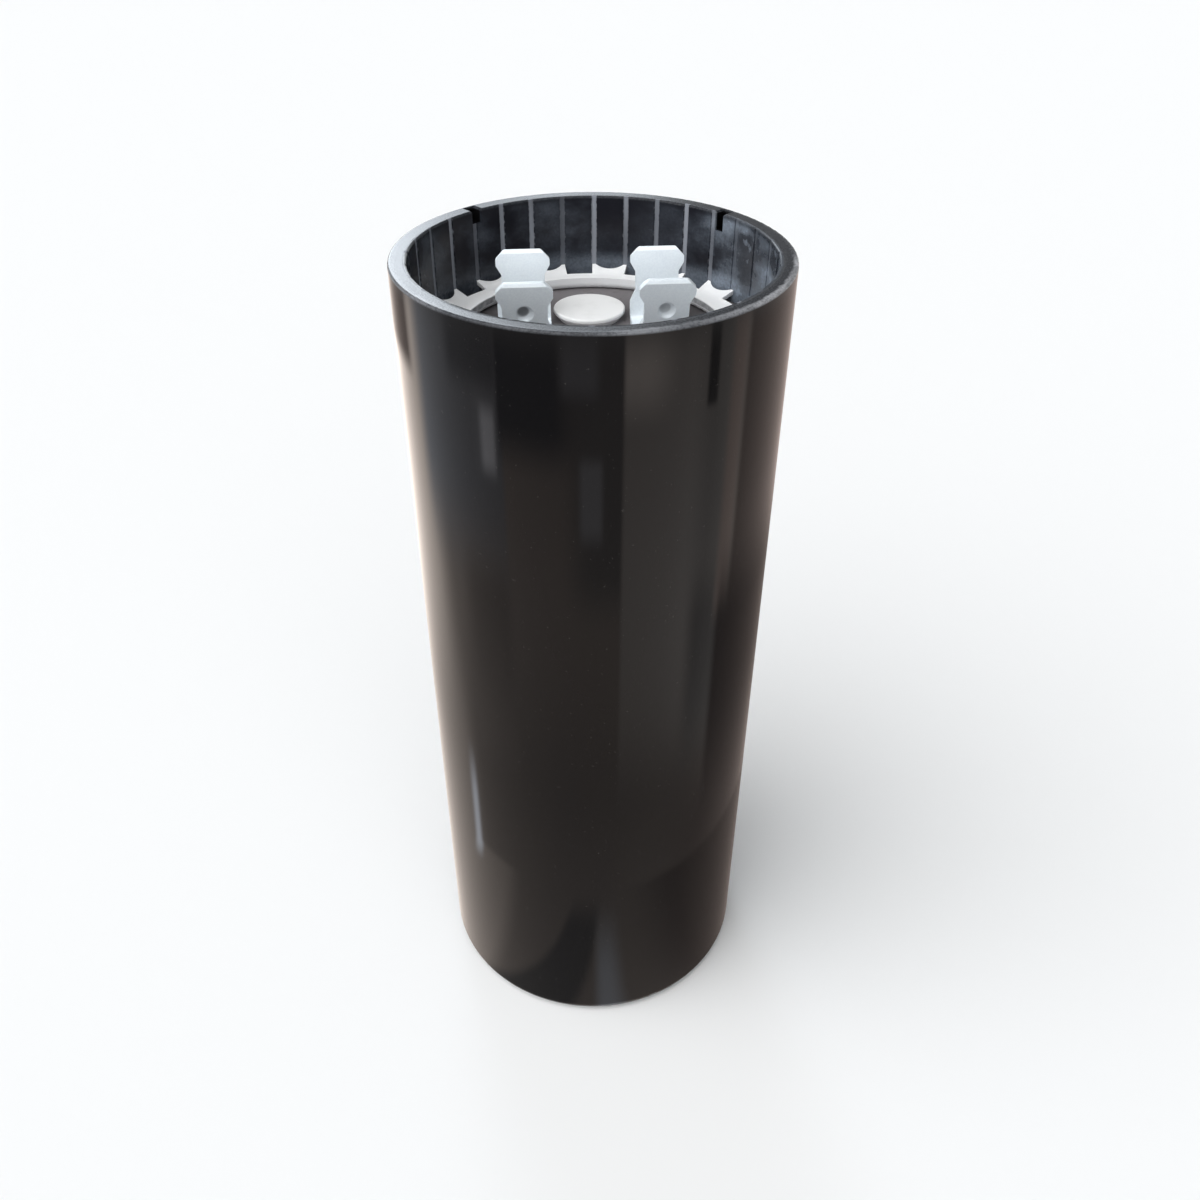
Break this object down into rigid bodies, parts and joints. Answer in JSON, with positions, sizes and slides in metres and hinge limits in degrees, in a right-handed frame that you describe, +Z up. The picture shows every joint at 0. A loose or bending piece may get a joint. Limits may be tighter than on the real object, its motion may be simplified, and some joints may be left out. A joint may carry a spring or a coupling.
{
  "type": "motor start capacitor",
  "caption": "Round black moulded can with an open mouth, where a toothed ring holds a header with push-on blades and a vent plug; it gives a motor its starting current.",
  "frame": {"origin": "centre of the base, on the surface that the can stands on", "axes": "+Z up along the can's axis, +X towards the right terminal, +Y towards the vent plug"},
  "size_m": [0.046, 0.046, 0.112],
  "materials": {
    "phenolic": "glossy black moulded phenolic",
    "ring_steel": "bright plated sheet steel",
    "header_board": "dull grey-brown phenolic board",
    "seal_rubber": "black rubber",
    "vent_rubber": "white rubber",
    "terminal_plate": "tin-plated, satin",
    "rivet_metal": "plain aluminium",
    "washer_metal": "plain aluminium",
    "lead_foil": "bright aluminium strip",
    "winding_paper": "paper and foil roll"
  },
  "bodies": {
    "root": {"case": "phenolic", "retaining_ring": "ring_steel", "header_disc": "header_board", "seal_disc": "seal_rubber", "vent_plug": "vent_rubber", "terminal_left": "terminal_plate", "terminal_right": "terminal_plate", "rivet_left": "rivet_metal", "rivet_right": "rivet_metal", "washer_left": "washer_metal", "washer_right": "washer_metal", "lead_tab_left": "lead_foil", "lead_tab_right": "lead_foil", "winding": "winding_paper"}
  },
  "joints": []
}
